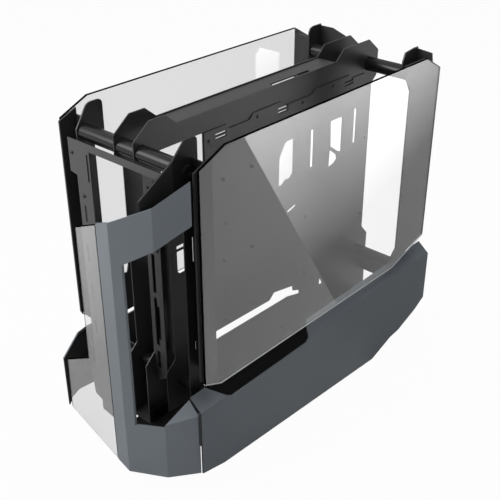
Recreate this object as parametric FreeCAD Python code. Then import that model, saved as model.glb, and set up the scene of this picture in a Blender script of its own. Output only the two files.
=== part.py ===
import FreeCAD, Part
import math
import os

# Frame: millimetres, X to the right seen from the front, Y to the rear, Z up.
# The origin is on the floor under the middle of the chassis.

# Driving sizes
total_width = 318.0
total_depth = 752.0
total_height = 620.0
steel_t = 2.0
post_t = 3.0
glass_t = 4.0
skin_t = 3.0
arch_t = 4.0
seat_gap = 0.3
rod_r = 13.5
rod_clearance = 0.05
screw_head_r = 3.2
screw_head_h = 2.0

# Side glass
pane_outer_x = 156.0
pane_front_y = -287.5
pane_rear_y = 348.0
pane_low_z = 199.0
pane_top_z = 612.0

# Spine: two upright plates joined by an upper and a lower web
spine_left_x = -26.5
spine_right_x = 20.0
spine_low_z = 62.0
spine_web_z = 599.0
ear_top_z = 618.0
ear_front_y = -287.0
ear_rear_y = 343.0
column_front_y = -272.0
foot_front_y = -293.0

# Cross rods
rod_z = 571.5
front_rod_y = -272.0
rear_rod_y = 313.0
low_rod_z = 168.0
low_rod_r = 11.0
low_front_rod_y = -258.0
low_rear_rod_y = 305.0
bolt_r = 4.0
bolt_fit = 0.05

# Posts that carry the glass
post_x = 117.0
post_front_y = -287.0
post_low_z = 98.0
front_web_y = -258.0
rear_web_y = 326.0
left_rear_web_y = 297.0

# Front frame
frame_y = -294.0
frame_top_z = 564.0
frame_half_w = 131.0
frame_bar_h = 12.0

# Skirts
skirt_front_y = -302.0
left_skirt_front_y = -336.0
skirt_rear_y = 375.0
crease_front_z = 168.0
crease_rear_z = 177.5
flange_in = 25.0
flange_up = 20.0
skirt_low_z = 4.0

# Front cover, as a plan line from its left end to its right end
cover_plan = [(20.0, -370.0), (57.0, -377.0), (117.0, -344.0), (151.0, -299.0)]
cover_low_z = 34.0
glass_end = (-149.0, -336.0)
cover_split = 0.5

# Base
base_z = 60.0
base_front_y = -190.0
base_rear_y = 320.0
foot_r = 15.0
foot_h = 12.0
cross_foot_w = 40.0

# Board tray
tray_front_y = -141.0
tray_rear_y = 321.0
tray_top_z = 556.0
board_hole_y = -103.0
board_hole_z = 190.0
board_steps_y = (0.0, 72.39, 227.33)
board_steps_z = (0.0, 124.46, 281.94)
standoff_h = 6.5
standoff_r = 3.0
thread_r = 1.25

# Power supply bay
psu_w = 86.0
psu_h = 150.0
psu_side_gap = 1.0

# Control box
box_front_y = -292.0
box_len = 96.0
box_low_z = 84.0
box_h = 34.0
box_depth = 16.0
power_r = 6.5
reset_r = 3.0
button_gap = 0.4
power_travel = 1.8
reset_travel = 1.2

os.makedirs("parts", exist_ok=True)
Vec = FreeCAD.Vector


def save(name, shape):
    shape.exportStep("parts/" + name + ".step")


def solid_from(points, push):
    """Straight extrusion of a flat outline of 3D points."""
    wire = Part.makePolygon(points + [points[0]])
    return Part.Face(wire).extrude(push)


def plate_yz(outline, x0, x1):
    return solid_from([Vec(x0, y, z) for y, z in outline], Vec(x1 - x0, 0, 0))


def plate_xz(outline, y0, y1):
    return solid_from([Vec(x, y0, z) for x, z in outline], Vec(0, y1 - y0, 0))


def plate_xy(outline, z0, z1):
    return solid_from([Vec(x, y, z0) for x, y in outline], Vec(0, 0, z1 - z0))


def box(x0, x1, y0, y1, z0, z1):
    return Part.makeBox(x1 - x0, y1 - y0, z1 - z0, Vec(x0, y0, z0))


def rect(a0, a1, b0, b1):
    return [(a0, b0), (a1, b0), (a1, b1), (a0, b1)]


def mirrored(shape):
    return shape.mirror(Vec(0, 0, 0), Vec(1, 0, 0))


def flipped(outline):
    return [(-a, b) for a, b in outline]


def rod_x(x0, x1, y, z, r):
    return Part.makeCylinder(r, x1 - x0, Vec(x0, y, z), Vec(1, 0, 0))


def rod_y(y0, y1, x, z, r):
    return Part.makeCylinder(r, y1 - y0, Vec(x, y0, z), Vec(0, 1, 0))


def rod_z_at(x, y, z0, z1, r):
    return Part.makeCylinder(r, z1 - z0, Vec(x, y, z0), Vec(0, 0, 1))


def polygon_bar(x0, x1, y, z, r, sides):
    """Bar along X with a regular section, as for a bolt head."""
    points = []
    for i in range(sides):
        turn = math.pi * (2 * i + 1) / sides
        points.append((y + r * math.cos(turn), z + r * math.sin(turn)))
    return plate_yz(points, x0, x1)


def fused(shapes):
    result = shapes[0]
    for shape in shapes[1:]:
        result = result.fuse(shape)
    return result.removeSplitter()


def cut_all(shape, tools):
    if not tools:
        return shape
    return shape.cut(Part.makeCompound(tools)) if len(tools) == 1 else shape.cut(fused_tools(tools))


def fused_tools(tools):
    result = tools[0]
    for tool in tools[1:]:
        result = result.fuse(tool)
    return result


def group(shapes):
    return Part.makeCompound(shapes)


def offset_line(points, t):
    """Plan line moved by t to its left side, with mitred corners."""
    moved = []
    for i, point in enumerate(points):
        dirs = []
        if i > 0:
            dirs.append((point[0] - points[i - 1][0], point[1] - points[i - 1][1]))
        if i < len(points) - 1:
            dirs.append((points[i + 1][0] - point[0], points[i + 1][1] - point[1]))
        normals = []
        for dx, dy in dirs:
            length = math.hypot(dx, dy)
            normals.append((-dy / length, dx / length))
        nx = sum(n[0] for n in normals) / len(normals)
        ny = sum(n[1] for n in normals) / len(normals)
        scale = t / (nx * nx + ny * ny)
        moved.append((point[0] + nx * scale, point[1] + ny * scale))
    return moved


def band(points, t0, t1, z0, z1):
    """Upright sheet between two offsets of a plan line."""
    near = offset_line(points, t0)
    far = offset_line(points, t1)
    return plate_xy(near + far[::-1], z0, z1)


def on_line(points, x):
    """Y of a plan line at a given X."""
    for a, b in zip(points, points[1:]):
        if a[0] <= x <= b[0]:
            return a[1] + (b[1] - a[1]) * (x - a[0]) / (b[0] - a[0])
    raise ValueError("outside the plan line")


# Side glass panes: a long outline with four cut corners
pane_outline = [
    (pane_front_y, pane_low_z + 16), (pane_front_y, pane_top_z - 24),
    (pane_front_y + 56, pane_top_z), (pane_rear_y - 48, pane_top_z),
    (pane_rear_y, pane_top_z - 27), (pane_rear_y, pane_low_z + 33),
    (pane_rear_y - 106, pane_low_z), (pane_front_y + 36, pane_low_z),
]
pane_inner_x = pane_outer_x - glass_t
glass_right = plate_yz(pane_outline, pane_inner_x, pane_outer_x)
glass_left = mirrored(glass_right)

# Spine plates: an ear at each upper end, a slim front column, a foot and open windows
column_top_z = spine_web_z - 54
foot_top_z = foot_front_y + 500
spine_outline = [
    (foot_front_y, spine_low_z), (foot_front_y, foot_top_z - 20),
    (column_front_y, foot_top_z), (column_front_y, column_top_z),
    (ear_front_y, column_top_z + 15), (ear_front_y, ear_top_z - 26),
    (ear_front_y + 34, ear_top_z), (ear_front_y + 66, ear_top_z),
    (ear_front_y + 89, spine_web_z), (ear_rear_y - 133, spine_web_z),
    (ear_rear_y - 112, ear_top_z), (ear_rear_y - 31, ear_top_z),
    (ear_rear_y, ear_top_z - 25), (ear_rear_y, ear_top_z - 75),
    (ear_rear_y - 20, ear_top_z - 92), (ear_rear_y - 20, spine_low_z + 153),
    (ear_rear_y - 2, spine_low_z + 131), (ear_rear_y - 2, spine_low_z),
]
column_w = 37.0
window_front_y = column_front_y + column_w
window_rear_y = tray_rear_y - 21
beam_low_z = spine_web_z - 34
strip_low_z = beam_low_z - 24
column_lip = 15.0
right_front_window = [
    (window_front_y + column_lip, 332.0), (tray_front_y - 1, 332.0), (tray_front_y - 1, beam_low_z),
    (window_front_y, beam_low_z), (window_front_y, strip_low_z - 20),
    (window_front_y + column_lip, strip_low_z - 40),
]
right_rear_window = [
    (tray_front_y - 38, 152.0), (tray_front_y + 20, 152.0), (tray_front_y + 20, spine_low_z + 48),
    (window_rear_y, spine_low_z + 48), (window_rear_y, strip_low_z), (tray_front_y + 20, strip_low_z),
    (tray_front_y + 20, 180.0), (tray_front_y - 38, 180.0),
]
left_top_z = spine_low_z + 396
left_window = [
    (window_front_y, spine_low_z + 108), (tray_front_y + 46, spine_low_z + 108),
    (tray_front_y + 46, spine_low_z + 243), (window_rear_y - 4, spine_low_z + 243),
    (window_rear_y - 4, left_top_z), (tray_front_y + 46, left_top_z),
    (tray_front_y + 46, beam_low_z), (window_front_y, beam_low_z),
]
left_cable_window = rect(tray_front_y - 4, window_rear_y - 36, spine_low_z + 18, spine_low_z + 88)
left_beam_slots = [rect(80.0, 154.0, beam_low_z + 8, beam_low_z + 20)]
for slot_y0, slot_y1 in ((-68.0, -38.0), (97.0, 127.0)):
    for slot_z in (strip_low_z - 24.5, strip_low_z - 17.5):
        left_beam_slots.append(rect(slot_y0, slot_y1, slot_z, slot_z + 5.0))

rod_seats = [
    ("rod_front_top", front_rod_y, rod_z, rod_r), ("rod_rear_top", rear_rod_y, rod_z, rod_r),
    ("rod_front_low", low_front_rod_y, low_rod_z, low_rod_r),
    ("rod_rear_low", low_rear_rod_y, low_rod_z, low_rod_r),
]


def rod_holes(x0, x1):
    holes = []
    for name, y, z, r in rod_seats:
        holes.append(rod_x(x0 - 1, x1 + 1, y, z, r + rod_clearance))
    return holes


def bolt_holes(x0, x1):
    holes = []
    for name, y, z, r in rod_seats:
        holes.append(rod_x(x0 - 1, x1 + 1, y, z, bolt_r + bolt_fit))
    return holes


# Pairs of short hook slots along the upper edge of the tray and the plates behind it
hook_slot_y = (tray_front_y + 26, tray_front_y + 183, tray_front_y + 376)
hook_slot_len = 27.0


def hook_slots(x0, x1):
    slots = []
    for y in hook_slot_y:
        for z in (strip_low_z + 4.0, strip_low_z + 10.5):
            slots.append(box(x0 - 1, x1 + 1, y, y + hook_slot_len, z, z + 4.0))
    return slots


right_plate_x0 = spine_right_x - steel_t
flange_w = 29.0
flange_outline = [
    (spine_right_x - steel_t, foot_top_z - 45), (spine_right_x + 8, foot_top_z - 55),
    (spine_right_x + flange_w, foot_top_z - 40), (spine_right_x + flange_w, column_top_z),
    (spine_right_x - steel_t, column_top_z),
]
flange_slots = []
for low, high in ((330.0, 402.0), (226.0, 320.0), (178.0, 214.0), (420.0, 520.0)):
    flange_slots.append(box(spine_right_x + 7, spine_right_x + 14, column_front_y - 1,
                            column_front_y + steel_t + 1, low, high))
flange_slots.append(box(spine_right_x + 7, spine_right_x + 19, column_front_y - 1,
                        column_front_y + steel_t + 1, 240.0, 306.0))
front_flange = plate_xz(flange_outline, column_front_y, column_front_y + steel_t).cut(
    fused_tools(flange_slots))

spine_right_blank = plate_yz(spine_outline, right_plate_x0, spine_right_x)
spine_right = spine_right_blank
for window in (right_front_window, right_rear_window):
    spine_right = spine_right.cut(plate_yz(window, right_plate_x0 - 1, spine_right_x + 1))
spine_right = cut_all(spine_right, rod_holes(right_plate_x0, spine_right_x))
spine_right = cut_all(spine_right, hook_slots(right_plate_x0, spine_right_x))
spine_right = fused([spine_right, front_flange])

left_plate_x1 = spine_left_x + steel_t
spine_left_blank = plate_yz(spine_outline, spine_left_x, left_plate_x1)
spine_left = spine_left_blank
for window in [left_window, left_cable_window] + left_beam_slots:
    spine_left = spine_left.cut(plate_yz(window, spine_left_x - 1, left_plate_x1 + 1))
spine_left = cut_all(spine_left, rod_holes(spine_left_x, left_plate_x1))

# Webs between the two spine plates
web_front_y = ear_front_y + 89
web_rear_y = ear_rear_y - 133
spine_top_web = box(left_plate_x1, right_plate_x0, web_front_y, web_rear_y,
                    spine_web_z - 2 * steel_t, spine_web_z - steel_t)
web_slots = []
for y0, y1 in ((36.0, 104.0), (107.0, 141.0)):
    slot_x = right_plate_x0 - 8
    web_slots.append(box(slot_x - 3.5, slot_x + 3.5, y0, y1, spine_web_z - 7, spine_web_z + 1))
spine_top_web = cut_all(spine_top_web, web_slots)
spine_bottom_web = box(left_plate_x1, right_plate_x0, foot_front_y, ear_rear_y - 2,
                       spine_low_z, spine_low_z + steel_t)

# Rods that cross the whole chassis, held at each end by a wide octagonal bolt through the post
post_inner_x = post_x - post_t
rods = {}
rod_bolts = []
bolt_head_t = 4.0
for name, y, z, r in rod_seats:
    rods[name] = rod_x(-post_inner_x, post_inner_x, y, z, r)
    head = polygon_bar(post_x, post_x + bolt_head_t, y, z, r - 2.5, 8)
    head = head.cut(polygon_bar(post_x + 1.5, post_x + bolt_head_t + 1, y, z, 4.5, 6))
    bolt = fused([head, rod_x(post_inner_x, post_x, y, z, bolt_r)])
    rod_bolts.append(bolt)
    rod_bolts.append(mirrored(bolt))

# Posts: an ear and upright leaf on the rods, a web, and a leaf that holds the glass
post_x0 = post_inner_x
pad_gap = 0.3
leaf_x1 = pane_inner_x - pad_gap
leaf_x0 = leaf_x1 - post_t
post_cut_top = total_height
ear_corner_r = 9.0


def rounded(outline, corners, r):
    """Outline with arcs of a few short runs at the named corners."""
    points = []
    for i, point in enumerate(outline):
        if i not in corners:
            points.append(point)
            continue
        before = outline[i - 1]
        after = outline[(i + 1) % len(outline)]
        for other, first in ((before, True), (after, False)):
            length = math.hypot(other[0] - point[0], other[1] - point[1])
            reach = min(r, length / 2)
            tip = (point[0] + (other[0] - point[0]) * reach / length,
                   point[1] + (other[1] - point[1]) * reach / length)
            if first:
                start = tip
            else:
                for k in range(5):
                    t = k / 4.0
                    a = (1 - t) * (1 - t)
                    b = 2 * t * (1 - t)
                    c = t * t
                    points.append((a * start[0] + b * point[0] + c * tip[0],
                                   a * start[1] + b * point[1] + c * tip[1]))
    return points


def post_ear(top, rear_y, edge):
    outline = [
        (post_front_y + 4, post_low_z), (post_front_y + 4, post_cut_top - 88),
        (post_front_y, post_cut_top - 76), (post_front_y, top - 38),
        (post_front_y + 25, top), (rear_y, top),
    ]
    return rounded(outline + edge, (4, 5), ear_corner_r)


right_ear_y = -250.0
right_edge = [
    (right_ear_y, post_cut_top - 84), (right_ear_y - 4, post_cut_top - 96),
    (right_ear_y - 4, post_low_z),
]
left_ear_y = -232.0
left_edge_y = post_front_y + 33
left_edge = [
    (left_ear_y, post_cut_top - 72), (left_ear_y - 17, post_cut_top - 74), (left_edge_y, post_cut_top - 77),
    (left_edge_y, 303.0), (left_edge_y + 6, 283.0), (-208.0, 283.0),
    (-203.0, 303.0), (-192.0, 303.0), (-185.0, 296.0), (-185.0, 214.0), (-192.0, 206.0),
    (post_front_y + 48, 206.0), (post_front_y + 42, 198.0), (post_front_y + 42, post_low_z),
]


front_leaf = [
    (foot_front_y, pane_low_z + 25), (foot_front_y, pane_top_z - 27),
    (front_web_y, pane_top_z - 13), (front_web_y, pane_low_z + 2), (front_web_y - 12, pane_low_z + 2),
    (foot_front_y + 6, pane_low_z + 22),
]
front_web = rect(post_x0, leaf_x1, pane_low_z + 20, pane_top_z - 24)


def front_post(top, rear_y, edge, extra):
    ear = plate_yz(post_ear(top, rear_y, edge), post_x0, post_x)
    leaf = plate_yz(front_leaf, leaf_x0, leaf_x1)
    web = plate_xz(front_web, front_web_y - post_t, front_web_y)
    return cut_all(fused([ear, web, leaf] + extra), bolt_holes(post_x0, post_x))


# The right front post has an arm: a bent leaf that reaches forward to the front cover
cover_inner = offset_line(cover_plan, arch_t)
arm_end_x = 98.0
arm_end_y = on_line(cover_inner, arm_end_x) - 2.0
arm_plan = [(post_x, post_front_y + 32), (post_x, -300.0), (arm_end_x, arm_end_y)]
arm_sheet = band(arm_plan, -post_t, 0.0, 400.0, total_height)
arm_profile = [
    (post_front_y + 31, total_height), (post_front_y + 12, total_height),
    (post_front_y + 4, total_height - 8),
    (arm_end_y - 2, 541.0), (arm_end_y - 2, 492.0), (-300.0, 530.0), (post_front_y + 31, 545.0),
]
arm = arm_sheet.common(plate_yz(arm_profile, arm_end_x - 30, post_x + 10))
arm = arm.cut(band([glass_end] + cover_plan, -30.0, arch_t, 0.0, total_height))
front_post_left = mirrored(front_post(post_cut_top - 4, left_ear_y, left_edge, []))
front_post_right = front_post(post_cut_top, right_ear_y, right_edge, [arm])
for y0, y1, z0, z1 in ((-267.0, -263.5, 418.0, 462.0), (-268.5, -265.5, 254.0, 273.0)):
    front_post_right = front_post_right.cut(box(post_x0 - 1, post_x + 1, y0, y1, z0, z1))

rear_ear_left = [
    (left_rear_web_y, post_low_z), (left_rear_web_y, total_height - 10),
    (left_rear_web_y + 4, total_height - 3), (left_rear_web_y + 14, total_height),
    (left_rear_web_y + 38, total_height), (left_rear_web_y + 38, post_low_z),
]
leaf_inset = 0.7
rear_leaf_left = [
    (left_rear_web_y, pane_low_z + 24), (left_rear_web_y, pane_top_z - leaf_inset),
    (pane_rear_y - 48, pane_top_z - leaf_inset), (pane_rear_y - leaf_inset, pane_top_z - 27 - leaf_inset),
    (pane_rear_y - leaf_inset, pane_low_z + 34),
]
rear_post_left = fused([
    plate_yz(rear_ear_left, -post_x, -post_x0),
    plate_xz(rect(-leaf_x1, -post_x0, pane_low_z + 30, pane_top_z - 10),
             left_rear_web_y, left_rear_web_y + post_t),
    plate_yz(rear_leaf_left, -leaf_x1, -leaf_x0),
])
rear_post_left = cut_all(rear_post_left, bolt_holes(-post_x, -post_x0))
rear_post_left = rear_post_left.cut(box(-post_x - 1, -post_x0 + 1, left_rear_web_y + 6, left_rear_web_y + 33,
                                        300.0, 412.0))
rear_brace_y = left_rear_web_y + 38 - steel_t
rear_brace = plate_xz(
    [(-post_x0, total_height - 80), (-post_x0, total_height - 3), (-post_x0 + 30, total_height - 3),
     (spine_left_x, total_height - 22), (spine_left_x, total_height - 80)],
    rear_brace_y, rear_brace_y + steel_t)

rear_ear_right = [
    (rear_web_y - 45, post_low_z), (rear_web_y - 45, 158.0), (rear_web_y - 14, 200.0),
    (rear_web_y - 14, total_height - 84), (rear_web_y - 26, total_height - 64),
    (rear_web_y - 40, total_height - 38), (rear_web_y - 45, total_height - 18),
    (rear_web_y - 38, total_height - 3),
    (rear_web_y - 10, total_height), (rear_web_y + post_t, total_height), (rear_web_y + post_t, post_low_z),
]
rear_leaf_right = [
    (253.0, pane_low_z + 40), (253.0, pane_top_z - 42), (235.0, pane_top_z - 24),
    (235.0, pane_top_z - leaf_inset), (pane_rear_y - 48, pane_top_z - leaf_inset),
    (pane_rear_y - leaf_inset, pane_top_z - 27 - leaf_inset), (pane_rear_y - leaf_inset, pane_low_z + 34),
    (pane_rear_y - 90, pane_low_z + 9), (pane_rear_y - 112, pane_low_z + 9),
    (pane_rear_y - 112, pane_low_z + 22),
]
rear_web_right = [
    (post_x0, pane_low_z + 26), (leaf_x1, pane_low_z + 42), (leaf_x1, pane_top_z - 24),
    (leaf_x1 - 4, total_height - 6), (post_x0, total_height - 3),
]
rear_post_right = fused([
    plate_yz(rear_ear_right, post_x0, post_x),
    plate_xz(rear_web_right, rear_web_y, rear_web_y + post_t),
    plate_yz(rear_leaf_right, leaf_x0, leaf_x1),
])
rear_post_right = cut_all(rear_post_right, bolt_holes(post_x0, post_x))

# Low cross bar at the rear, from the spine to the right rear post
rear_low_bar = box(spine_right_x + steel_t, post_x, rear_web_y + post_t, rear_web_y + post_t + steel_t,
                   108.0, 140.0)

# Front frame: one sheet with a top bar, a left strip and a stepped lower corner
frame_rear_y = frame_y + steel_t
frame_low_z = 72.0
frame_right_x = post_x0 - seat_gap
frame_outline = [
    (-frame_half_w, frame_top_z), (-frame_half_w, 506.0), (-frame_half_w + 16, 503.0),
    (-frame_half_w + 16, 130.0), (-127.0, 118.0), (-127.0, 81.0), (-125.0, 58.0), (-107.0, 50.0),
    (-107.0, 29.0), (-86.0, 25.0), (-54.0, 25.0), (-46.0, 33.0), (-46.0, frame_low_z),
    (spine_left_x, frame_low_z),
    (spine_left_x, 156.0), (-80.0, 172.0), (-80.0, 552.0),
    (frame_right_x, 552.0), (frame_right_x, frame_top_z),
]
frame_slots = [box(-87.5, -83.5, frame_y - 1, frame_rear_y + 1, 498.0, 546.0)]
for k in range(4):
    z = 200.0 + 74.0 * k
    frame_slots.append(box(-104.0, -99.0, frame_y - 1, frame_rear_y + 1, z, z + 30))
frame_sheet = cut_all(plate_xz(frame_outline, frame_y, frame_rear_y), frame_slots)
frame_tabs = [
    box(-post_x0, -post_x0 + steel_t, frame_y, post_front_y + 16, 512.0, 550.0),
    box(-post_x0, -post_x0 + steel_t, frame_y, post_front_y + 16, 130.0, 150.0),
    box(post_x0 - steel_t, post_x0, frame_y, post_front_y + 16, 536.0, 557.0),
]
frame_sheet = frame_sheet.fuse(box(frame_right_x - 16, post_x0, frame_y, frame_rear_y, 536.0, 557.0))
front_frame = fused([frame_sheet] + frame_tabs)

# Cable shroud: a plate beside the right spine plate, with a front return and three tabs back to it
shroud_x = 72.0
shroud_outline = [
    (foot_front_y, 118.0), (foot_front_y, foot_top_z - 8), (column_front_y, foot_top_z + 10),
    (column_front_y, 530.0), (-240.0, 530.0), (-228.0, 518.0), (-228.0, 138.0), (-242.0, 118.0),
]
shroud_windows = [rect(-258.0, -234.5, 374.0, 415.5), rect(-258.0, -234.5, 419.0, 425.5)]
shroud = plate_yz(shroud_outline, shroud_x - steel_t, shroud_x)
for window in shroud_windows:
    shroud = shroud.cut(plate_yz(window, shroud_x - steel_t - 1, shroud_x + 1))
shroud_tabs = []
for z in (140.0, 350.0, 514.0):
    tab_y = column_front_y + 30
    shroud_tabs.append(box(spine_right_x, shroud_x, tab_y, tab_y + steel_t, z, z + 14))
shroud_return = box(spine_right_x, shroud_x, column_front_y + 8, column_front_y + 8 + steel_t, 218.0, 528.0)
cable_shroud = fused([shroud, shroud_return] + shroud_tabs)
cable_shroud = cut_all(cable_shroud, rod_holes(shroud_x - steel_t, shroud_x))

# Board tray with its openings
tray_x1 = spine_right_x + steel_t
tray_outline = [
    (tray_front_y, spine_low_z + steel_t), (tray_front_y, beam_low_z), (-90.0, beam_low_z),
    (-84.0, tray_top_z),
    (-32.0, tray_top_z), (-22.0, tray_top_z + 10), (48.0, tray_top_z + 10), (58.0, tray_top_z),
    (136.0, tray_top_z), (146.0, tray_top_z + 8), (250.0, tray_top_z + 8), (258.0, tray_top_z),
    (300.0, tray_top_z), (tray_rear_y, tray_top_z - 21), (tray_rear_y, spine_low_z + 153),
    (ear_rear_y - 2, spine_low_z + 131), (ear_rear_y - 2, spine_low_z + steel_t),
]
tray_openings = [
    [(100.0, 490.0), (98.0, 421.0), (70.0, 416.0), (52.0, 405.0), (44.0, 407.0), (45.0, 462.0),
     (60.0, 486.0), (77.0, 492.0)],
    rect(135.0, 143.0, 413.0, 492.0),
    [(194.0, 490.0), (235.0, 487.0), (233.0, 416.0), (222.0, 419.0), (197.0, 437.0)],
    [(195.0, 430.0), (216.0, 414.0), (219.0, 404.0), (210.0, 398.0), (193.0, 394.0)],
    rect(269.0, 277.0, 421.0, 493.0),
    [(62.0, 338.0), (72.0, 347.0), (95.0, 352.0), (96.0, 348.0), (76.0, 342.0), (66.0, 334.0)],
    [(-131.0, 176.0), (22.0, 171.0), (35.0, 183.0), (92.0, 172.0), (94.0, 160.0), (116.0, 152.0),
     (114.0, 144.0), (78.0, 153.0), (-131.0, 157.0)],
    [(66.0, 415.5), (78.0, 419.0), (80.0, 414.0), (68.0, 410.5)],
    [(180.0, 153.0), (190.0, 133.0), (178.0, 135.0)],
]
board_tray = plate_yz(tray_outline, spine_right_x, tray_x1)
for opening in tray_openings:
    board_tray = board_tray.cut(plate_yz(opening, spine_right_x - 1, tray_x1 + 1))
board_tray = cut_all(board_tray, hook_slots(spine_right_x, tray_x1))
board_tray = cut_all(board_tray, rod_holes(spine_right_x, tray_x1))

board_places = []
for dy in board_steps_y:
    for dz in board_steps_z:
        board_places.append((board_hole_y + dy, board_hole_z + dz))
standoffs = []
for y, z in board_places:
    post = polygon_bar(tray_x1, tray_x1 + standoff_h, y, z, standoff_r, 6)
    standoffs.append(post.cut(rod_x(tray_x1 + 1, tray_x1 + standoff_h + 1, y, z, thread_r)))

tray_screws = []
for y, z in ((-96.0, 386.0), (-98.0, 250.0), (-130.0, 548.0), (-12.0, 556.0),
             (110.0, 548.0), (200.0, 556.0), (-60.0, 92.0), (60.0, 92.0),
             (200.0, 92.0), (311.0, 250.0), (311.0, 420.0)):
    tray_screws.append(rod_x(tray_x1, tray_x1 + screw_head_h, y, z, screw_head_r))

# Base: a shelf with raised side edges, two cross feet and four rubber pads
wall_x = total_width / 2 - skin_t
shelf = box(-wall_x, wall_x, base_front_y, base_rear_y, base_z, base_z + steel_t)
edge_h = 34.0
edges = []
for x0 in (-wall_x, wall_x - steel_t):
    edges.append(box(x0, x0 + steel_t, base_front_y, base_rear_y, base_z, base_z + edge_h))
base_shelf = fused([shelf] + edges)
intake = box(-wall_x + 8, spine_left_x - 6, base_front_y + 90, base_rear_y - 24, base_z - 1,
             base_z + steel_t + 1)
base_shelf = cut_all(base_shelf, [intake])

foot_places = []
foot_channels = {}
foot_x = 114.0
rear_foot_w = 30.0
foot_specs = (
    ("cross_foot_front", -foot_x - 18, foot_x + 18, base_front_y, cross_foot_w),
    ("rear_foot_left", -foot_x - 24, -foot_x + 24, base_rear_y - rear_foot_w, rear_foot_w),
    ("rear_foot_right", foot_x - 24, foot_x + 24, base_rear_y - rear_foot_w, rear_foot_w),
)
for name, x0, x1, y, w in foot_specs:
    outer = box(x0, x1, y, y + w, foot_h, base_z)
    inner = box(x0 - 1, x1 + 1, y + steel_t, y + w - steel_t, foot_h + steel_t, base_z + 1)
    foot_channels[name] = outer.cut(inner)
for y in (base_front_y + cross_foot_w / 2, base_rear_y - rear_foot_w / 2):
    for side in (-1, 1):
        foot_places.append((side * foot_x, y))
rubber_feet = []
for x, y in foot_places:
    pad = Part.makeCone(foot_r - 2, foot_r, foot_h, Vec(x, y, 0), Vec(0, 0, 1))
    rubber_feet.append(pad)


# Skirts: a bent sheet along each side, with a sloped crease and a dip in its upper edge
def crease_slope(front_z):
    return (crease_rear_z - front_z) / (skirt_rear_y - skirt_front_y)


def skirt_sheet(y0, y1, front_z, rise):
    slope = crease_slope(front_z)
    fold_z = front_z + slope * (y0 - skirt_front_y)
    outer = [(total_width / 2, -60.0), (total_width / 2, fold_z),
             (total_width / 2 - flange_in, fold_z + rise)]
    inner = offset_line(outer, skin_t)
    points = [Vec(x, y0, z) for x, z in outer + inner[::-1]]
    return solid_from(points, Vec(0, y1 - y0, slope * (y1 - y0)))


low_corner_y = 192.0


dip_end_y = -22.0


def dip(front_z):
    end_fold_z = front_z + crease_slope(front_z) * (dip_end_y - skirt_front_y)
    return [
        (-274.0, 260.0), (-270.0, front_z + 21), (-240.0, crease_front_z), (-228.0, crease_front_z - 7),
        (dip_end_y - 9, crease_front_z - 5), (dip_end_y, crease_front_z + 4), (dip_end_y, end_fold_z),
        (dip_end_y + 18, end_fold_z + flange_up), (dip_end_y + 18, 260.0),
    ]


left_crease_z = crease_front_z + 10
left_rise = flange_up + 4
rear_rise = [
    (skirt_rear_y, 69.0), (343.0, 51.0), (283.0, 29.0), (255.0, 26.0), (low_corner_y, skirt_low_z),
]
right_skirt_outline = [(skirt_front_y, 40.0), (skirt_front_y, 260.0), (skirt_rear_y, 260.0)]
right_skirt_outline += rear_rise + [(-250.0, 29.0)]
left_skirt_outline = [
    (left_skirt_front_y, 35.0), (left_skirt_front_y, 142.0), (-300.0, left_crease_z), (-300.0, 260.0),
    (skirt_rear_y, 260.0),
]
left_skirt_outline += [
    (skirt_rear_y, 69.0), (343.0, 51.0), (283.0, 40.0), (-118.0, 40.0), (-142.0, 12.0),
    (-190.0, 12.0), (-197.0, 19.0), (-218.0, 41.0), (-222.0, 53.0), (-272.0, 54.0), (-308.0, 57.0),
    (-327.0, 47.0),
]


def skirt(outline, front_z, rise):
    sheet = skirt_sheet(left_skirt_front_y - 10, skirt_rear_y + 10, front_z, rise)
    sheet = sheet.common(plate_yz(outline, 60.0, total_width))
    return sheet.cut(plate_yz(dip(front_z), 60.0, total_width))


skirt_right = skirt(right_skirt_outline, crease_front_z, flange_up)
skirt_left = mirrored(skirt(left_skirt_outline, left_crease_z, left_rise))
return_w = 6.4
return_x1 = total_width / 2 - 1
front_return = box(return_x1 - return_w, return_x1, skirt_front_y, skirt_front_y + steel_t,
                   98.0, crease_front_z - 3)
skirt_right = fused([skirt_right, front_return])

# Front cover: one folded sheet with a large opening and a turned-in lower wing
cover_right_x = cover_plan[3][0]
cover_outline = [
    (cover_plan[0][0] + cover_split, cover_low_z), (cover_right_x, cover_low_z), (cover_right_x, 157.0),
    (cover_plan[2][0], 146.0), (cover_plan[2][0] - 1, 140.0), (72.0, 138.0), (72.0, 440.0),
    (cover_plan[2][0], 469.5), (cover_right_x, 506.0), (cover_right_x, 576.0), (cover_plan[2][0], 539.0),
    (cover_plan[1][0], 508.0), (cover_plan[0][0] + cover_split, 492.0),
]
cover_sheet = band([glass_end] + cover_plan, 0.0, arch_t, 0.0, total_height)
front_cover = cover_sheet.common(plate_xz(cover_outline, -400.0, cover_plan[3][1]))
wing_a = Vec(cover_plan[2][0], cover_plan[2][1], 146.0)
wing_b = Vec(cover_plan[3][0], cover_plan[3][1], 157.0)
wing_c = Vec(129.0, cover_plan[3][1], 179.0)
wing_normal = (wing_b - wing_a).cross(wing_c - wing_a)
wing_normal.normalize()
wing = solid_from([wing_a, wing_b, wing_c], wing_normal * -skin_t)
wing = wing.common(plate_xz(rect(80.0, 160.0, 0.0, 300.0), -400.0, cover_plan[3][1]))
front_cover = fused([front_cover, wing])

# Front glass: a narrow upper part and a wide lower part beside the front cover
front_glass_outline = [
    (cover_plan[0][0] - cover_split, cover_low_z + 1), (cover_plan[0][0] - cover_split, 490.0),
    (-50.0, 456.0), (-54.0, 204.0), (-144.0, 147.0), (glass_end[0], cover_low_z + 1),
]
front_glass = band([glass_end] + cover_plan, 0.0, glass_t, 0.0, total_height)
front_glass = front_glass.common(plate_xz(front_glass_outline, -400.0, -300.0))

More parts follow.
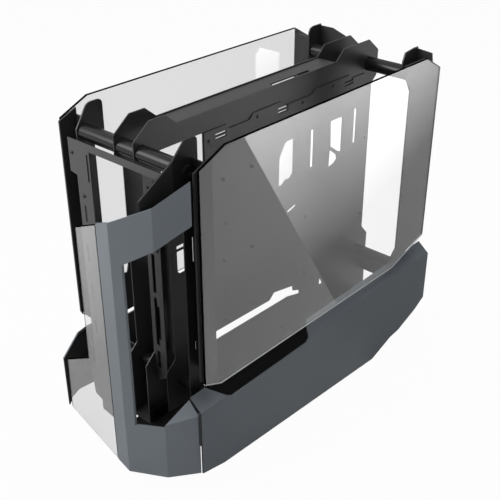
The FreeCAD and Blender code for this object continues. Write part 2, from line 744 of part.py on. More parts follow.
# Clips that hold the front glass to the back of the cover
clip_strip = band([glass_end] + cover_plan, arch_t, arch_t + steel_t, 0.0, total_height)
glass_clips = []
for z in (150.0, 280.0, 430.0):
    clip_prism = plate_xz(rect(cover_plan[0][0] - 5, cover_plan[0][0] + 18, z, z + 22), -400.0, -300.0)
    glass_clips.append(clip_strip.common(clip_prism))

# Floor plate that carries the front cover from the spine, with a turned-up front edge
floor_inner = [p for p in offset_line([glass_end] + cover_plan, arch_t)]
floor_x0 = 40.0
floor_x1 = 104.0
floor_outline = [
    (spine_right_x + 0.5, foot_front_y - 1), (-10.0, foot_front_y - 1), (-8.0, -316.0), (4.0, -338.0),
    (floor_x0, on_line(floor_inner, floor_x0)), floor_inner[2],
    (floor_x1, on_line(floor_inner, floor_x1)), (floor_x1 - 10, -290.0), (60.0, base_front_y),
    (spine_right_x + 0.5, base_front_y),
]
floor_plate = plate_xy(floor_outline, base_z + steel_t, base_z + 2 * steel_t)
turned_edge = band([glass_end] + cover_plan, arch_t, arch_t + steel_t, base_z + steel_t, base_z + 30)
turned_edge = turned_edge.common(plate_xz(rect(floor_x0, floor_x1, base_z, base_z + 40), -400.0, -300.0))
floor_side = box(spine_right_x, spine_right_x + steel_t, foot_front_y + 10, base_front_y,
                 base_z + steel_t, base_z + 26)
front_floor_plate = fused([floor_plate, turned_edge, floor_side])

# Power supply frame at the rear of the left bay, with a lip onto the left spine plate
psu_y0 = ear_rear_y - 2 - 21.0
psu_x1 = spine_left_x
psu_x0 = psu_x1 - psu_w - psu_side_gap
psu_z0 = base_z + steel_t
psu_frame = box(psu_x0, psu_x1, psu_y0 - steel_t, psu_y0, psu_z0, psu_z0 + psu_h + 8)
psu_mouth = box(psu_x0 + 8, psu_x1 - 8, psu_y0 - 5, psu_y0 + 5, psu_z0 + 12, psu_z0 + psu_h - 6)
psu_holes = []
psu_seat_x = psu_x0 + psu_side_gap / 2
psu_seat_z = psu_z0 + steel_t
psu_frame = psu_frame.cut(psu_mouth)
psu_corner_r = 5.5
psu_hole_r = 1.8
for dx, dz in ((16.0, 6.0), (80.0, 6.0), (80.0, 144.0), (6.0, 120.0)):
    x = psu_seat_x + dx
    z = psu_seat_z + dz
    psu_frame = psu_frame.fuse(rod_y(psu_y0 - steel_t, psu_y0, x, z, psu_corner_r))
    psu_holes.append(rod_y(psu_y0 - 5, psu_y0 + 5, x, z, psu_hole_r))
psu_foot = box(psu_x0, psu_x1, psu_y0 - 18, psu_y0, psu_z0, psu_z0 + steel_t)
psu_lip = box(psu_x1 - steel_t, psu_x1, psu_y0 - 18, psu_y0, psu_z0, low_rod_z - low_rod_r - 4)
psu_bracket = cut_all(fused([psu_frame, psu_foot, psu_lip]), psu_holes)

# Two drive trays on the left face of the left spine plate, each with turned edges and four screws
drive_trays = []
drive_screws = []
drive_len = 100.0
drive_h = 70.0
tray_rim = 9.0
for y in (tray_front_y + 60, tray_front_y + 180):
    outer = box(spine_left_x - tray_rim, spine_left_x, y, y + drive_len, 196.0, 196.0 + drive_h + 8)
    hollow = box(spine_left_x - tray_rim - 1, spine_left_x - 1.2, y + 1.2, y + drive_len - 1.2,
                 197.2, 196.0 + drive_h + 6.8)
    drive_tray = outer.cut(hollow)
    window = plate_yz(rect(y + 24, y + drive_len - 24, 212.0, 212.0 + drive_h - 24),
                      spine_left_x - 2, spine_left_x + 1)
    drive_trays.append(drive_tray.cut(window))
    for dy in (12.0, drive_len - 12.0):
        for z in (206.0, 196.0 + drive_h - 2):
            drive_screws.append(rod_x(spine_left_x - 1.2 - 1.8, spine_left_x - 1.2, y + dy, z, 3.0))

# Control box behind the left skirt, with two sprung buttons and four sockets facing outward
box_x0 = -wall_x
box_rear_y = box_front_y + box_len
box_mid_z = box_low_z + box_h / 2
box_outer = box(box_x0, box_x0 + box_depth, box_front_y, box_rear_y, box_low_z, box_low_z + box_h)
box_hollow = box(box_x0 + 1.5, box_x0 + box_depth - 1.5, box_front_y + 1.5, box_rear_y - 1.5,
                 box_low_z + 1.5, box_low_z + box_h - 1.5)
control_shell = box_outer.cut(box_hollow)
power_y = box_front_y + 16.0
reset_y = box_front_y + 34.0
usb_y = (box_front_y + 50.0, box_front_y + 68.0)
usb_wide = 5.6
usb_tall = 13.2
type_c_y = box_front_y + 81.0
jack_y = box_front_y + 89.0
port_openings = []
for y in usb_y:
    port_openings.append((y - usb_wide / 2, y + usb_wide / 2,
                          box_mid_z - usb_tall / 2, box_mid_z + usb_tall / 2))
port_openings.append((type_c_y - 1.4, type_c_y + 1.4, box_mid_z - 4.4, box_mid_z + 4.4))
button_specs = (
    ("power_button", power_y, power_r, power_travel),
    ("reset_button", reset_y, reset_r, reset_travel),
)
skin_holes = []
shell_holes = []
for y0, y1, z0, z1 in port_openings:
    skin_holes.append(box(-total_width / 2 - 1, box_x0 + 1, y0 - 1.2, y1 + 1.2, z0 - 1.2, z1 + 1.2))
    shell_holes.append(box(box_x0 - 1, box_x0 + 2, y0, y1, z0, z1))
skin_holes.append(rod_x(-total_width / 2 - 1, box_x0 + 1, jack_y, box_mid_z, 3.4))
shell_holes.append(rod_x(box_x0 - 1, box_x0 + 2, jack_y, box_mid_z, 1.8))
buttons = {}
button_flange = 1.4
button_flange_t = 1.6
button_back_gap = 0.3
for name, y, r, travel in button_specs:
    skin_holes.append(rod_x(-total_width / 2 - 1, box_x0 + 1, y, box_mid_z, r + button_gap))
    shell_holes.append(rod_x(box_x0 - 1, box_x0 + 2, y, box_mid_z, r + button_gap))
    face_x = -total_width / 2 + 0.2
    flange_x = box_x0 + 1.5 + button_back_gap
    cap = rod_x(face_x, flange_x, y, box_mid_z, r)
    rim = rod_x(flange_x, flange_x + button_flange_t, y, box_mid_z, r + button_flange)
    buttons[name] = fused([cap, rim])
control_box = cut_all(control_shell, shell_holes)
skirt_left = cut_all(skirt_left, skin_holes)
port_inserts = []
for y in usb_y:
    shield = box(box_x0 + 1.5, box_x0 + 10, y - usb_wide / 2 - 0.3, y + usb_wide / 2 + 0.3,
                 box_mid_z - usb_tall / 2 - 0.3, box_mid_z + usb_tall / 2 + 0.3)
    mouth = box(box_x0 + 1, box_x0 + 9.5, y - usb_wide / 2, y + usb_wide / 2,
                box_mid_z - usb_tall / 2, box_mid_z + usb_tall / 2)
    tongue = box(box_x0 + 2, box_x0 + 9.6, y - 1.8, y + 0.2, box_mid_z - 5.4, box_mid_z + 5.4)
    port_inserts.append(fused([shield.cut(mouth), tongue]))
type_c = box(box_x0 + 1.5, box_x0 + 9, type_c_y - 1.7, type_c_y + 1.7, box_mid_z - 4.7, box_mid_z + 4.7)
type_c = type_c.cut(box(box_x0 + 1, box_x0 + 8.5, type_c_y - 1.4, type_c_y + 1.4,
                        box_mid_z - 4.4, box_mid_z + 4.4))
port_inserts.append(fused([type_c, box(box_x0 + 2, box_x0 + 8.6, type_c_y - 0.35, type_c_y + 0.35,
                                       box_mid_z - 3.4, box_mid_z + 3.4)]))
jack = rod_x(box_x0 + 1.5, box_x0 + 10, jack_y, box_mid_z, 3.2)
port_inserts.append(jack.cut(rod_x(box_x0 + 1, box_x0 + 9, jack_y, box_mid_z, 1.8)))

# Switches behind the two buttons, on a small board against the back wall of the box
board_x1 = box_x0 + box_depth - 1.5
board_x0 = board_x1 - 1.5
switch_board = box(board_x0, board_x1, power_y - 10, reset_y + 9, box_mid_z - 12, box_mid_z + 12)
switches = []
for name, y, r, travel in button_specs:
    pressed_x = box_x0 + 1.5 + button_back_gap + button_flange_t + travel
    plunger_x = pressed_x + seat_gap
    body = box(plunger_x + 1.5, board_x0, y - 3, y + 3, box_mid_z - 3, box_mid_z + 3)
    switches.append(fused([body, rod_x(plunger_x, plunger_x + 1.5, y, box_mid_z, 1.7)]))

# Screws that hold the front frame, the posts' braces and the control box
frame_screws = []
for x, z in ((-102.0, 469.0), (-102.0, 180.0), (-123.0, 540.0), (-60.0, 100.0)):
    frame_screws.append(rod_y(frame_y - screw_head_h, frame_y, x, z, screw_head_r))
flange_screws = []
for z in (356.0 + 56.0, 500.0 + 30.0):
    flange_screws.append(rod_y(column_front_y - screw_head_h, column_front_y, 42.0, z, screw_head_r))
shelf_screws = []
shelf_places = []
for x in (-134.0, -60.0, 60.0, 134.0):
    shelf_places.append((x, base_front_y + 20.0))
for x in (-134.0, 134.0):
    shelf_places.append((x, base_rear_y - 12.0))
for x, y in shelf_places:
    shelf_screws.append(rod_z_at(x, y, base_z + steel_t, base_z + steel_t + screw_head_h, screw_head_r))

parts = {
    "glass_right": glass_right,
    "glass_left": glass_left,
    "front_glass": front_glass,
    "front_glass_clips": group(glass_clips),
    "front_cover": front_cover,
    "skirt_right": skirt_right,
    "skirt_left": skirt_left,
    "spine_plate_right": spine_right,
    "spine_plate_left": spine_left,
    "spine_top_web": spine_top_web,
    "spine_bottom_web": spine_bottom_web,
    "rod_bolts": group(rod_bolts),
    "front_post_right": front_post_right,
    "front_post_left": front_post_left,
    "rear_post_right": rear_post_right,
    "rear_post_left": rear_post_left,
    "rear_brace": rear_brace,
    "rear_low_bar": rear_low_bar,
    "front_frame": front_frame,
    "cable_shroud": cable_shroud,
    "board_tray": board_tray,
    "board_standoffs": group(standoffs),
    "tray_screws": group(tray_screws),
    "base_shelf": base_shelf,
    "rubber_feet": group(rubber_feet),
    "front_floor_plate": front_floor_plate,
    "psu_bracket": psu_bracket,
    "drive_trays": group(drive_trays),
    "drive_tray_screws": group(drive_screws),
    "control_box": control_box,
    "control_sockets": group(port_inserts),
    "switch_board": switch_board,
    "button_switches": group(switches),
    "front_frame_screws": group(frame_screws),
    "column_screws": group(flange_screws),
    "shelf_screws": group(shelf_screws),
}
parts.update(rods)
parts.update(foot_channels)
parts.update(buttons)
for name, shape in parts.items():
    save(name, shape)
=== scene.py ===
"""Looks for the open chassis: materials, screws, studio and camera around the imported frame."""

import math

import bmesh
import bpy
from mathutils import Matrix, Vector


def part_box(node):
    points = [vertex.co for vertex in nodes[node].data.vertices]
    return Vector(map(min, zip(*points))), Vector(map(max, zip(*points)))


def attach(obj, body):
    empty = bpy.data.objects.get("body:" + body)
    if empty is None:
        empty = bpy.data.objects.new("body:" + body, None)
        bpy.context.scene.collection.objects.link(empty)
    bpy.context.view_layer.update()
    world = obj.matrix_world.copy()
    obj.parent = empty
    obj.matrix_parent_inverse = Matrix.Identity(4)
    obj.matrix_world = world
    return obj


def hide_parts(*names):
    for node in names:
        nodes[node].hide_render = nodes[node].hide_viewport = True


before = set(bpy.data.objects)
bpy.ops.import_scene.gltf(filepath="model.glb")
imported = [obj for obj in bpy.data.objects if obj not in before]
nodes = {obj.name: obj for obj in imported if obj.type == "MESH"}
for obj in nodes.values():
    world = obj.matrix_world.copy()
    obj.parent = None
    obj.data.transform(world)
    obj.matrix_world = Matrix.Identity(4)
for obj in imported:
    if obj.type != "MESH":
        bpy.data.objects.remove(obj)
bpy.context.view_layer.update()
scene = bpy.context.scene
MM = 0.001

# Camera, fitted to the photograph's 500 x 500 frame
CAMERA_AT = Vector((0.9493, -1.0644, 1.0910))
CAMERA_AZIMUTH = 41.927
CAMERA_ELEVATION = 29.522
CAMERA_ROLL = -0.102
FOCAL_PX = 876.63
FRAME_PX = 500.0
SENSOR = 36.0
CLIP_NEAR, CLIP_FAR = 0.05, 60.0

cam_data = bpy.data.cameras.new("camera")
cam_data.sensor_width = SENSOR
cam_data.lens = FOCAL_PX * SENSOR / FRAME_PX
cam_data.clip_start = CLIP_NEAR
cam_data.clip_end = CLIP_FAR
camera = bpy.data.objects.new("camera", cam_data)
scene.collection.objects.link(camera)
az, el, roll = (math.radians(v) for v in (CAMERA_AZIMUTH, CAMERA_ELEVATION, CAMERA_ROLL))
back = Vector((math.sin(az) * math.cos(el), -math.cos(az) * math.cos(el), math.sin(el)))
right = Vector((math.cos(az), math.sin(az), 0.0))
up = back.cross(right)
cam_x = right * math.cos(roll) + up * math.sin(roll)
cam_y = up * math.cos(roll) - right * math.sin(roll)
camera.matrix_world = Matrix.Translation(CAMERA_AT) @ Matrix((cam_x, cam_y, back)).transposed().to_4x4()
scene.camera = camera
scene.view_settings.view_transform = "Standard"


# Material tools
BEVEL_SAMPLES = 4
CLOUD_SCALE = 7.0
GRAIN_DEPTH = 0.4 * MM
SHINE_SWING = 0.12
TONE_STOPS = (0.3, 0.7)
INSIDE_TILT = -0.2
CUT_END_TILT = 0.9
# Roughness and specular of the painted shade on the skirts' inner faces and of their black cut ends
SHADE_AND_END_ROUGH = 0.6
SHADE_AND_END_SPECULAR = 0.2


class Graph:
    """A short way to build the node tree of a material, or of a world that is handed in."""

    def __init__(self, name, world=None):
        self.mat = world or bpy.data.materials.new(name)
        self.mat.use_nodes = True
        self.tree = self.mat.node_tree
        self.tree.nodes.clear()
        self.out = self.add("ShaderNodeOutputWorld" if world else "ShaderNodeOutputMaterial")

    def add(self, kind, **inputs):
        node = self.tree.nodes.new(kind)
        for key, value in inputs.items():
            self.feed(node, key, value)
        return node

    def feed(self, node, key, value):
        name = int(key[2:]) if key.startswith("in") and key[2:].isdigit() else key.replace("_", " ")
        socket = node.inputs[name]
        if isinstance(value, bpy.types.NodeSocket):
            self.tree.links.new(value, socket)
        else:
            socket.default_value = value

    def math(self, operation, a, b=0.0, c=0.0):
        node = self.tree.nodes.new("ShaderNodeMath")
        node.operation = operation
        self.feed(node, "in0", a)
        self.feed(node, "in1", b)
        self.feed(node, "in2", c)
        return node.outputs[0]

    def dot(self, vector, direction):
        node = self.tree.nodes.new("ShaderNodeVectorMath")
        node.operation = "DOT_PRODUCT"
        self.feed(node, "in0", vector)
        self.feed(node, "in1", direction)
        return node.outputs["Value"]

    def ramp(self, value, stops):
        node = self.tree.nodes.new("ShaderNodeValToRGB")
        self.feed(node, "in0", value)
        while len(node.color_ramp.elements) < len(stops):
            node.color_ramp.elements.new(0.5)
        for element, (place, colour) in zip(node.color_ramp.elements, stops):
            element.position = place
            element.color = (*colour, 1.0)
        return node.outputs[0]

    def place(self):
        return self.tree.nodes.new("ShaderNodeTexCoord").outputs["Object"]

    def noise(self, scale, detail):
        node = self.tree.nodes.new("ShaderNodeTexNoise")
        self.tree.links.new(self.place(), node.inputs["Vector"])
        node.inputs["Scale"].default_value = scale
        node.inputs["Detail"].default_value = detail
        return node.outputs[0]

    def bump(self, height, strength, distance, radius):
        edge = self.tree.nodes.new("ShaderNodeBevel")
        edge.samples = BEVEL_SAMPLES
        edge.inputs["Radius"].default_value = radius
        node = self.tree.nodes.new("ShaderNodeBump")
        self.tree.links.new(height, node.inputs["Height"])
        self.tree.links.new(edge.outputs[0], node.inputs["Normal"])
        node.inputs["Strength"].default_value = strength
        node.inputs["Distance"].default_value = distance
        return node.outputs[0]

    def finish(self, shader):
        self.tree.links.new(shader, self.out.inputs["Surface"])
        return self.mat


def tint(colour, factor):
    return tuple(c * factor for c in colour)


def two_tones(g, value, dark, light):
    """Colour that runs from dark to light as the value does."""
    return g.ramp(value, list(zip(TONE_STOPS, (dark, light))))


def coated(name, colour, rough, grain_scale, grain, metallic=0.0, specular=0.5, edge=0.6 * MM,
           spread=0.14, shaded_inside_black_ends=False):
    """Painted, anodised or moulded surface: fine grain, faint cloudy tone and a softened edge.

    Where asked, the face towards the middle is painted shade in near black, and the cut ends that face
    along Y are black.
    """
    g = Graph(name)
    cloud = g.noise(CLOUD_SCALE, 3.0)
    speck = g.noise(grain_scale, 2.0)
    base = two_tones(g, cloud, tint(colour, 1.0 - spread), tint(colour, 1.0 + spread))
    shine = g.math("ADD", g.math("MULTIPLY", speck, SHINE_SWING), rough - SHINE_SWING / 2)
    normal = g.bump(speck, grain, GRAIN_DEPTH, edge)
    shader = g.add("ShaderNodeBsdfPrincipled", Base_Color=base, Roughness=shine, Normal=normal,
                   Metallic=metallic)
    shader.inputs["Specular IOR Level"].default_value = specular
    if not shaded_inside_black_ends:
        return g.finish(shader.outputs[0])
    geometry = g.tree.nodes.new("ShaderNodeNewGeometry")
    normal_parts = g.add("ShaderNodeSeparateXYZ", in0=geometry.outputs["True Normal"]).outputs
    outward = g.math("MULTIPLY", normal_parts["X"], side_sign(g))
    # Painted shade: the face towards the middle turns near black instead of grey-blue; the cut ends that
    # face along Y are black too
    inside = g.math("LESS_THAN", outward, INSIDE_TILT)
    cut_end = g.math("GREATER_THAN", g.math("ABSOLUTE", normal_parts["Y"]), CUT_END_TILT)
    shade_and_end_tone = two_tones(g, cloud, tint(BLACK, 0.8), tint(BLACK, 1.1))
    coat = g.add("ShaderNodeBsdfPrincipled", Base_Color=shade_and_end_tone, Roughness=SHADE_AND_END_ROUGH, Normal=normal)
    coat.inputs["Specular IOR Level"].default_value = SHADE_AND_END_SPECULAR
    mixed = g.add("ShaderNodeMixShader", in0=g.math("MAXIMUM", inside, cut_end), in1=shader.outputs[0],
                  in2=coat.outputs[0])
    return g.finish(mixed.outputs[0])


def side_sign(g):
    """Plus one on the right half of the chassis, minus one on the left half."""
    return g.math("SIGN", g.add("ShaderNodeSeparateXYZ", in0=g.place()).outputs["X"])


BLACK = (0.024, 0.024, 0.025)
SHADED_BLACK = (0.014, 0.014, 0.0145)
DEEP_SHADE_BLACK = (0.007, 0.007, 0.0072)
LIT_FRAME_BLACK = (0.056, 0.056, 0.058)
ROD_BLACK = (0.008, 0.008, 0.0085)
GREY_BLUE = (0.165, 0.186, 0.208)
SHEET_EDGE = 0.9 * MM

# name, colour, roughness, grain per metre, strength of the grain
black_steel = coated("black_powder_coat", BLACK, 0.42, 1100.0, 0.03)
# Painted shade: the same black powder coat made darker, for the right front post and the cable shroud
shaded_black = coated("black_powder_coat_deep", SHADED_BLACK, 0.45, 900.0, 0.08, specular=0.2)
# Painted deep shade: the same black powder coat at its darkest, for the base shelf and the front floor
# plate
deep_shade_black = coated("black_powder_coat_painted_deep_shade", DEEP_SHADE_BLACK, 0.6, 900.0, 0.08, specular=0.12)
# Painted light: the same black powder coat made lighter, for the front frame
lit_frame_black = coated("black_powder_coat_frame", LIT_FRAME_BLACK, 0.45, 900.0, 0.08)
black_satin = coated("black_satin_rod", ROD_BLACK, 0.24, 1200.0, 0.12, specular=0.35)
grey_sheet = coated("grey_blue_anodised", GREY_BLUE, 0.40, 1400.0, 0.08, metallic=0.35,
                    edge=SHEET_EDGE, spread=0.05)
# Painted shade: the skirts take the cover's grey-blue at 80 percent, a darker copy of the same sheet
shaded_skirt_sheet = coated("grey_blue_skirt", tint(GREY_BLUE, 0.80), 0.45, 1400.0, 0.08, specular=0.2,
                     edge=SHEET_EDGE, spread=0.05, shaded_inside_black_ends=True)
dark_screw = coated("blackened_screw", (0.05, 0.05, 0.052), 0.32, 1500.0, 0.1, metallic=0.8)
plated = coated("plated_steel", (0.55, 0.55, 0.57), 0.28, 1500.0, 0.1, metallic=1.0)
black_plastic = coated("black_plastic", (0.02, 0.02, 0.021), 0.5, 700.0, 0.2)
rubber = coated("soft_rubber", (0.018, 0.018, 0.018), 0.8, 500.0, 0.5)
green_board = coated("circuit_board", (0.01, 0.09, 0.035), 0.35, 400.0, 0.15)


EDGE_BAND = 3.0 * MM
EDGE_SAMPLES = 16
EDGE_FACING = 0.985
GLOW_BELOW = -0.1
GLASS_SHADOW = (0.88, 0.88, 0.88, 1.0)
# Tones of the painted shade and of the painted glow on the glass edge
EDGE_SHADE_TONES = ((0.0015, 0.0015, 0.0015), (0.003, 0.003, 0.003))
EDGE_GLOW_TONES = ((0.50, 0.52, 0.52), (0.66, 0.68, 0.68))


def glass(name, face_normal, tone, ior):
    """Clear toughened glass; its ground edge is pale where it faces down, a painted glow, and dark
    everywhere else, painted shade.
    """
    g = Graph(name)
    clear = g.add("ShaderNodeBsdfPrincipled", Base_Color=(*tone, 1.0), Roughness=0.0)
    clear.inputs["IOR"].default_value = ior
    clear.inputs["Transmission Weight"].default_value = 1.0
    shadow = g.add("ShaderNodeBsdfTransparent", Color=GLASS_SHADOW)
    path = g.add("ShaderNodeLightPath")
    body = g.add("ShaderNodeMixShader", in0=path.outputs["Is Shadow Ray"], in1=clear.outputs[0],
                 in2=shadow.outputs[0])
    geometry = g.add("ShaderNodeNewGeometry").outputs
    rounded = g.add("ShaderNodeBevel", Radius=EDGE_BAND)
    rounded.samples = EDGE_SAMPLES
    facing = g.math("ABSOLUTE", g.dot(rounded.outputs[0], face_normal))
    is_edge = g.math("LESS_THAN", facing, EDGE_FACING)
    outward = g.math("MULTIPLY_ADD", geometry["Backfacing"], -2.0, 1.0)
    upward = g.math("MULTIPLY", g.dot(rounded.outputs[0], (0.0, 0.0, 1.0)), outward)
    ground = g.noise(600.0, 2.0)
    edge_shade_tone = two_tones(g, ground, *EDGE_SHADE_TONES)
    edge_glow_tone = two_tones(g, ground, *EDGE_GLOW_TONES)
    painted_shade_edge = g.add("ShaderNodeBsdfPrincipled", Base_Color=edge_shade_tone, Roughness=0.9)
    painted_shade_edge.inputs["Specular IOR Level"].default_value = 0.0
    painted_glow_edge = g.add("ShaderNodeBsdfPrincipled", Base_Color=edge_glow_tone, Roughness=0.35)
    edge = g.add("ShaderNodeMixShader", in0=g.math("LESS_THAN", upward, GLOW_BELOW),
                 in1=painted_shade_edge.outputs[0], in2=painted_glow_edge.outputs[0])
    mixed = g.add("ShaderNodeMixShader", in0=is_edge, in1=body.outputs[0], in2=edge.outputs[0])
    return g.finish(mixed.outputs[0])


SIDEWAYS = (1.0, 0.0, 0.0)
side_glass = glass("side_glass", SIDEWAYS, (0.99, 0.99, 0.99), 1.5)
left_glass = glass("left_side_glass", SIDEWAYS, (0.82, 0.82, 0.82), 1.5)
glass_low, glass_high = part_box("front_glass")
front_way = Vector((glass_high.x - glass_low.x, -(glass_high.y - glass_low.y), 0.0)).normalized()
front_glass = glass("front_glass", (front_way.y, -front_way.x, 0.0), (0.93, 0.93, 0.93), 2.2)


def paint(material, *names):
    for name in names:
        mesh_object = nodes[name]
        for slot in mesh_object.material_slots:
            slot.material = material


rod_nodes = ("rod_front_top", "rod_rear_top", "rod_front_low", "rod_rear_low")
# Which way the heads of each node point, along their own axis
SCREWS = {"tray_screws": 1, "drive_tray_screws": -1, "front_frame_screws": -1, "column_screws": -1,
          "shelf_screws": 1}
for name in nodes:
    paint(black_steel, name)
paint(grey_sheet, "front_cover")
paint(shaded_skirt_sheet, "skirt_right", "skirt_left")
paint(black_satin, *rod_nodes)
paint(shaded_black, "front_post_right", "cable_shroud")
paint(lit_frame_black, "front_frame")
paint(deep_shade_black, "base_shelf", "front_floor_plate")
paint(dark_screw, "rod_bolts", "board_standoffs", *SCREWS)
paint(plated, "control_sockets")
paint(black_plastic, "power_button", "reset_button", "button_switches")
paint(rubber, "rubber_feet")
paint(green_board, "switch_board")
paint(side_glass, "glass_right")
paint(left_glass, "glass_left")
paint(front_glass, "front_glass")


# Screws: each plain head is replaced by a domed head with a six-sided socket
def islands(name):
    """Boxes of the separate solids in one node."""
    mesh = nodes[name].data
    parent = {}

    def find(key):
        while parent[key] != key:
            parent[key] = parent[parent[key]]
            key = parent[key]
        return key

    keys = []
    for vertex in mesh.vertices:
        key = tuple(round(c, 5) for c in vertex.co)
        parent.setdefault(key, key)
        keys.append(key)
    for polygon in mesh.polygons:
        first = find(keys[polygon.vertices[0]])
        for index in polygon.vertices[1:]:
            parent[find(keys[index])] = first
    groups = {}
    for key in parent:
        groups.setdefault(find(key), []).append(key)
    boxes = []
    for points in groups.values():
        low = Vector([min(p[k] for p in points) for k in range(3)])
        high = Vector([max(p[k] for p in points) for k in range(3)])
        boxes.append((low, high))
    return sorted(boxes, key=lambda b: tuple(b[0]))


HEAD_STEPS = 24
# Radius and height along each profile, as shares of the head's own
HEAD_PROFILE = [(1.0, 0.0), (1.0, 0.30), (0.93, 0.62), (0.76, 0.86), (0.54, 0.98), (0.44, 1.0)]
SOCKET_PROFILE = [(0.40, 0.97), (0.38, 0.45)]


def screw_heads(name, outward):
    """Domed heads on the same seats as the plain ones in a node."""
    sector = math.pi / 3
    bm = bmesh.new()
    for low, high in islands(name):
        size = high - low
        axis = min(range(3), key=lambda k: size[k])
        centre = (low + high) / 2
        seat = low[axis] if outward > 0 else high[axis]
        height = size[axis]
        radius = (sum(size) - height) / 4
        side = [k for k in range(3) if k != axis]
        rings = []
        for r, h in HEAD_PROFILE + SOCKET_PROFILE:
            ring = []
            for i in range(HEAD_STEPS):
                turn = 2 * math.pi * i / HEAD_STEPS
                reach = r * radius
                if (r, h) in SOCKET_PROFILE:
                    reach *= math.cos(sector / 2) / math.cos(turn % sector - sector / 2)
                point = [0.0, 0.0, 0.0]
                point[side[0]] = centre[side[0]] + reach * math.cos(turn)
                point[side[1]] = centre[side[1]] + reach * math.sin(turn)
                point[axis] = seat + outward * h * height
                ring.append(bm.verts.new(point))
            rings.append(ring)
        for a, b in zip(rings, rings[1:]):
            for i in range(HEAD_STEPS):
                j = (i + 1) % HEAD_STEPS
                bm.faces.new((a[i], a[j], b[j], b[i]))
        bm.faces.new(rings[-1])
        bm.faces.new(rings[0])
    bmesh.ops.recalc_face_normals(bm, faces=bm.faces)
    mesh = bpy.data.meshes.new(name + "_domed")
    bm.to_mesh(mesh)
    bm.free()
    mesh.materials.append(dark_screw)
    heads = bpy.data.objects.new(name + "_domed", mesh)
    scene.collection.objects.link(heads)
    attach(heads, "chassis")
    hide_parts(name)


for name, outward in SCREWS.items():
    screw_heads(name, outward)


# Studio: a pale floor, a soft world and large soft lamps
FLOOR_HALF = 30.0
FLOOR_TONE = (0.45, 0.45, 0.45, 1.0)
FLOOR_DROP = 0.5 * MM
FLOOR_WHITE = 0.97
# White share that gloss sees in the floor, a painted pool of light: slope and offset along X and along Y,
# then its limits
LEFT_SHINE = (-1.5, -0.45)
REAR_SHINE = (2.5, 0.9)
SHINE_LEAST, SHINE_MOST = 0.04, 0.84
WHITE = (1.0, 1.0, 1.0, 1.0)
# Below half, a ray has not been through a glossy or diffuse bounce
NO_BOUNCE = 0.5


def backdrop_white(g, plain, strength, shine):
    """White where the camera sees it, straight or through glass, part white in gloss, plain elsewhere."""
    path = g.add("ShaderNodeLightPath").outputs
    no_gloss = g.math("LESS_THAN", path["Glossy Depth"], NO_BOUNCE)
    no_diffuse = g.math("LESS_THAN", path["Diffuse Depth"], NO_BOUNCE)
    through = g.math("MULTIPLY", g.math("MULTIPLY", path["Is Transmission Ray"], no_gloss), no_diffuse)
    direct = g.math("MAXIMUM", path["Is Camera Ray"], through)
    gloss = g.math("MAXIMUM", path["Is Glossy Ray"], path["Is Transmission Ray"])
    share = g.math("MAXIMUM", g.math("MULTIPLY", direct, strength), g.math("MULTIPLY", gloss, shine))
    is_world = g.out.bl_idname == "ShaderNodeOutputWorld"
    kind = "ShaderNodeBackground" if is_world else "ShaderNodeEmission"
    white = g.add(kind, Color=WHITE, Strength=1.0)
    return g.add("ShaderNodeMixShader", in0=share, in1=plain, in2=white.outputs[0]).outputs[0]


floor_graph = Graph("pale_floor")
floor_plain = floor_graph.add("ShaderNodeBsdfDiffuse", Color=FLOOR_TONE)
floor_place = floor_graph.add("ShaderNodeSeparateXYZ", in0=floor_graph.place()).outputs
left_shine = floor_graph.math("MULTIPLY_ADD", floor_place["X"], *LEFT_SHINE)
rear_shine = floor_graph.math("MULTIPLY_ADD", floor_place["Y"], *REAR_SHINE)
floor_shine = floor_graph.math("MAXIMUM", left_shine, rear_shine)
floor_shine = floor_graph.math("MAXIMUM", floor_shine, SHINE_LEAST)
floor_shine = floor_graph.math("MINIMUM", floor_shine, SHINE_MOST)
floor_mix = backdrop_white(floor_graph, floor_plain.outputs[0], FLOOR_WHITE, floor_shine)


def flat_sheet(name, corners, height, material):
    """A flat four-cornered surface of the studio."""
    mesh = bpy.data.meshes.new(name)
    mesh.from_pydata([(x, y, height) for x, y in corners], [], [(0, 1, 2, 3)])
    mesh.materials.append(material)
    sheet = bpy.data.objects.new(name, mesh)
    scene.collection.objects.link(sheet)
    return sheet


floor_corners = [(FLOOR_HALF * x, FLOOR_HALF * y) for x, y in ((-1, -1), (1, -1), (1, 1), (-1, 1))]
floor = flat_sheet("floor", floor_corners, -FLOOR_DROP, floor_graph.finish(floor_mix))

SKY_BRIGHT_WAY = (-0.80, -0.55, 0.25)
SKY_SPAN = 0.8
SKY_DARK, SKY_BRIGHT = 0.07, 0.75
SKY_SHINE = 0.06
world = bpy.data.worlds.new("studio")
scene.world = world
sky = Graph("studio", world)
sky_way = sky.tree.nodes.new("ShaderNodeTexCoord").outputs["Generated"]
sky_turn = sky.dot(sky_way, SKY_BRIGHT_WAY)
sky_fade = sky.add("ShaderNodeMapRange", Value=sky_turn)
sky_fade.interpolation_type = "SMOOTHSTEP"
sky_fade.inputs["From Min"].default_value = -SKY_SPAN
sky_fade.inputs["From Max"].default_value = SKY_SPAN
sky_fade.inputs["To Min"].default_value = SKY_DARK
sky_fade.inputs["To Max"].default_value = SKY_BRIGHT
sky_soft = sky.add("ShaderNodeBackground", Color=WHITE, Strength=sky_fade.outputs["Result"])
sky.finish(backdrop_white(sky, sky_soft.outputs[0], 1.0, SKY_SHINE))

AIM = Vector((0.0, 0.0, 0.32))


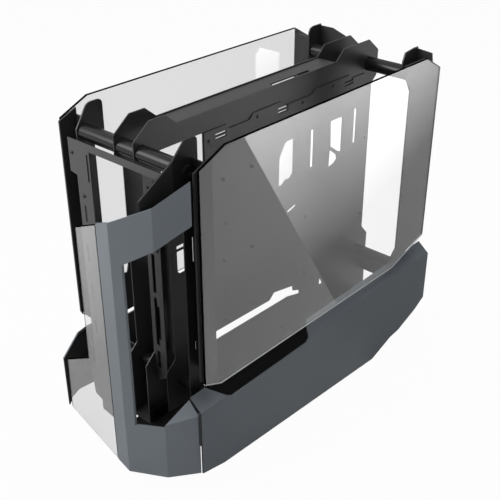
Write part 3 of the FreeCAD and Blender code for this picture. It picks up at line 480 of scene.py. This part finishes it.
def soft_lamp(name, place, size, watts):
    """A square lamp that points at the middle of the object."""
    data = bpy.data.lights.new(name, "AREA")
    data.shape = "RECTANGLE"
    data.size, data.size_y = size, size
    data.energy = watts
    lamp = bpy.data.objects.new(name, data)
    scene.collection.objects.link(lamp)
    lamp.location = place
    lamp.rotation_mode = "QUATERNION"
    lamp.rotation_quaternion = (AIM - Vector(place)).to_track_quat("-Z", "Y")


soft_lamp("key", (-1.3, -2.2, 2.0), 1.8, 55.0)
soft_lamp("top", (0.2, 0.3, 3.0), 2.0, 40.0)
soft_lamp("side", (2.0, -1.4, 1.0), 1.2, 3.5)


# A pale card lies flat beyond the rear right corner and glows only in reflections: a painted glare that
# slants across the glass
CARD_NEAR, CARD_FAR = Vector((0.283, 0.275)), Vector((1.157, 0.910))
CARD_BEFORE, CARD_BEYOND, CARD_WIDTH = 0.2, 0.8, 1.4
CARD_HEIGHT = 2.0 * MM
# Its brightness rises along X and falls along Y: the two slopes, the offset and the least value
CARD_SLOPE_X, CARD_SLOPE_Y = 6.3, -1.6
CARD_OFFSET = -1.75
CARD_LEAST = 0.56
card_graph = Graph("reflector_card")
card_spot = card_graph.add("ShaderNodeSeparateXYZ", in0=card_graph.place()).outputs
card_rise = card_graph.math("MULTIPLY_ADD", card_spot["X"], CARD_SLOPE_X, CARD_OFFSET)
card_fall = card_graph.math("MULTIPLY_ADD", card_spot["Y"], CARD_SLOPE_Y, card_rise)
card_glow = card_graph.math("MAXIMUM", card_fall, CARD_LEAST)
card_light = card_graph.add("ShaderNodeEmission", Color=WHITE, Strength=card_glow)
card_clear = card_graph.add("ShaderNodeBsdfTransparent", Color=WHITE)
card_depth = card_graph.tree.nodes.new("ShaderNodeLightPath").outputs["Glossy Depth"]
card_seen = card_graph.math("GREATER_THAN", card_depth, NO_BOUNCE)
card_mix = card_graph.add("ShaderNodeMixShader", in0=card_seen, in1=card_clear.outputs[0],
                          in2=card_light.outputs[0])
along = (CARD_FAR - CARD_NEAR).normalized()
inward = Vector((-along.y, along.x)) * CARD_WIDTH
card_start = CARD_NEAR - along * CARD_BEFORE
card_end = CARD_FAR + along * CARD_BEYOND
card_corners = [card_start, card_end, card_end + inward, card_start + inward]
card = flat_sheet("reflector_card", card_corners, CARD_HEIGHT, card_graph.finish(card_mix.outputs[0]))
for ray in ("camera", "diffuse", "shadow"):
    setattr(card, "visible_" + ray, False)
